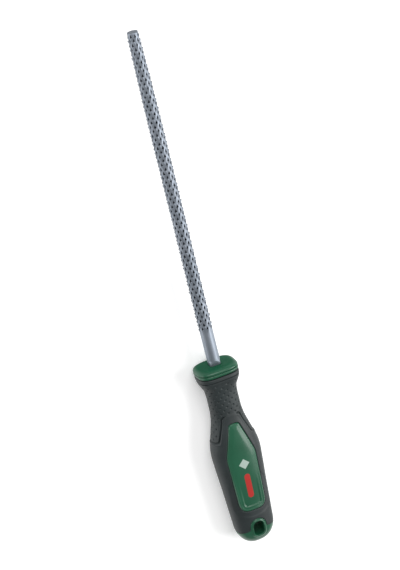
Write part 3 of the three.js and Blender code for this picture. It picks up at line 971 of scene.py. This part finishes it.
lip_rows = LIP_STATION + np.array([0, 0.05, 0.18, 0.4, 0.7, 1.05, 1.4])
outer_rows = np.concatenate([lip_rows, steps(LIP_STATION + 1.65, 12, 8.4, 174, 47.0, 118, TAIL_START)])
outer_station = np.repeat(outer_rows[:, None], GRIP_COLUMNS, axis=1)
tail_across, tail_up = squircle(grip_turn, WAIST_POWER)
border = border_station(tail_across * half_width_at(BUTT_BORDER - 2))
tail_share = steps(0, 30, 1)[1:, None]
tail_station = TAIL_START + (border - TAIL_START) * tail_share
station = np.vstack([outer_station, tail_station])
power = power_at(station)
unit_across, unit_up = squircle(grip_turn, power)
width, depth = half_width_at(station), half_depth_at(station)
across, up = unit_across * width, unit_up * depth
normal_across = np.sign(unit_across) * np.abs(unit_across) ** (power - 1) / width
normal_up = np.sign(unit_up) * np.abs(unit_up) ** (power - 1) / depth
normal_length = np.hypot(normal_across, normal_up)
normal_across, normal_up = normal_across / normal_length, normal_up / normal_length

waist_index = np.argmin(np.abs(outer_rows - 24.0))
step_length = np.hypot(np.diff(across[waist_index], append=across[waist_index, :1]),
                       np.diff(up[waist_index], append=up[waist_index, :1]))
girth = np.concatenate([[0], np.cumsum(step_length)[:-1]])
columns_round = 2 * round(step_length.sum() / DIMPLE_ACROSS / 2)
girth = girth * (columns_round * DIMPLE_ACROSS / step_length.sum())

relief = grip_relief(station, across, girth[None, :])
lip_round = LIP_ROUND * (1 - np.clip((station - LIP_STATION) / 0.5, 0, 1)) ** 2
below_lip = ramp(station, LIP_END - 0.08, LIP_END + 0.08)
lip_step = LIP_STEP * below_lip * (1 - ramp(station, LIP_END + 0.3, LIP_END + 0.9))
lip_groove = lip_step + LIP_FADE * below_lip * (1 - ramp(station, 9, 13))
end_round = END_ROUND * (1 - ramp(border - station, 0, 0.5))
relief = relief - lip_round - lip_groove - end_round
outer = place(station, across + normal_across * relief, up + normal_up * relief)

# %% [markdown]
# ## The grip's inside
# The sleeve's inner rows run back from the border to the lip, one thickness under the outer ones,
# and close it into a solid ring.

# %% The grip's inside, and the whole sleeve
inner_share = steps(1, 20, 0)[:, None]
inner_station = LIP_STATION + (border - LIP_STATION) * inner_share
inner_across, inner_up = squircle(grip_turn, power_at(inner_station))
inner_across = inner_across * (half_width_at(inner_station) - GRIP_THICKNESS)
inner_up = inner_up * (half_depth_at(inner_station) - GRIP_THICKNESS)
sleeve = np.concatenate([outer, place(inner_station, inner_across, inner_up)])
grip = grid_piece("soft_grip", sleeve, close_rows=True)
finish_piece(grip, ELASTOMER, "grip_overmould")

# %% [markdown]
# ## Floor
# The tool lies on a pale matt floor that glows a little by itself, as a light table does, so that
# it is nearly white and its shadows stay faint.

# %% Floor
FLOOR_GAP, FLOOR_HALF, FLOOR_GLOW = 0.0002, 3.0, 0.36  # metres, metres, strength


def pale_floor():
    """A wide plane just under the object, in faint matt paint."""
    low = min(corner[2] for corner in CAD_BOX) - FLOOR_GAP
    half = FLOOR_HALF
    mesh = bpy.data.meshes.new("floor")
    corners = [(-half, -half, low), (half, -half, low), (half, half, low), (-half, half, low)]
    mesh.from_pydata(corners, [], [(0, 1, 2, 3)])
    floor = bpy.data.objects.new("floor", mesh)
    bpy.context.scene.collection.objects.link(floor)
    material, tree, shader, where = new_material("matt_white_paint")
    shade = mix(tree, noise(tree, where, 60.0), linear("#e4e4e4"), linear("#eaeaea"))
    set_finish(tree, shader, noise(tree, where, 2.0), 0.01, Base_Color=shade, Roughness=0.9,
               Emission_Color=(1.0, 1.0, 1.0, 1.0), Emission_Strength=FLOOR_GLOW)
    mesh.materials.append(material)


pale_floor()
print(f"floor: {2 * FLOOR_HALF} m wide")

# %% [markdown]
# ## The view
# A long lens from 1.65 m away keeps the far end nearly as large as the near end. The camera's axes
# are worked out from a tilt, a turn and a roll, because the lights use them too.

# %% The view: a camera that looks down on the front panel from the tip's side
VIEW_TILT, VIEW_TURN, VIEW_ROLL = 22.5, 16.0, 13.87
VIEW_DISTANCE = 1650.0
AIM_STATION, AIM_RIGHT, AIM_UP = -47.0, 2.41, 1.8
LENS_SHARE = 2975 / 570
LONG_SIDE = 36.0

tilt, side, roll = (math.radians(a) for a in (VIEW_TILT, VIEW_TURN, VIEW_ROLL))
back = Vector((math.sin(tilt), math.cos(tilt) * math.sin(side), math.cos(tilt) * math.cos(side)))
up_axis = (Vector((1, 0, 0)) - back * back.x).normalized()
right_axis = up_axis.cross(back)
camera_up = up_axis * math.cos(roll) + right_axis * math.sin(roll)
camera_right = right_axis * math.cos(roll) - up_axis * math.sin(roll)

camera_data = bpy.data.cameras.new("camera")
camera_data.sensor_width = LONG_SIDE
camera_data.lens = LONG_SIDE * LENS_SHARE
camera = bpy.data.objects.new("camera", camera_data)
bpy.context.scene.collection.objects.link(camera)
aim = Vector(place(AIM_STATION, 0, 0)) + (camera_right * AIM_RIGHT + camera_up * AIM_UP) * MM
axes = Matrix((camera_right, camera_up, back)).transposed()
camera.matrix_world = Matrix.Translation(aim + back * VIEW_DISTANCE * MM) @ axes.to_4x4()
camera_data.clip_start, camera_data.clip_end = 0.05, 20
bpy.context.scene.camera = camera


# %% [markdown]
# ## Lights
# A wide soft light on the right brightens that side of steel and plastic. A small one on the left
# draws a thin rim of light, one near the camera fills the front, and the pale world keeps the
# shadows open. Area lights are used because their shadows fade softly.

# %% Lights
def soft_light(name, direction, distance, size, power):
    """A square area light that faces the object from a direction given in the camera's axes."""
    data = bpy.data.lights.new(name, "AREA")
    data.shape, data.size, data.energy = "SQUARE", size, power
    lamp = bpy.data.objects.new(name, data)
    bpy.context.scene.collection.objects.link(lamp)
    towards = (camera_right * direction[0] + camera_up * direction[1] + back * direction[2]).normalized()
    lamp.location = aim + towards * distance
    lamp.rotation_mode = "QUATERNION"
    lamp.rotation_quaternion = towards.to_track_quat("Z", "Y")
    print(f"{name}: {power} W, {size} m wide")


soft_light("key_right", (1.0, -0.08, 0.38), 1.2, 0.8, 14)
soft_light("rim_left", (-1.0, -0.25, 0.45), 1.3, 0.35, 5)
soft_light("front_soft", (0.1, 0.35, 1.0), 1.6, 1.0, 15)

world = bpy.data.worlds.new("studio")
world.use_nodes = True
background = world.node_tree.nodes["Background"]
background.inputs["Color"].default_value = linear("#ffffff")
background.inputs["Strength"].default_value = 0.3
bpy.context.scene.world = world
bpy.context.scene.view_settings.view_transform = "Standard"
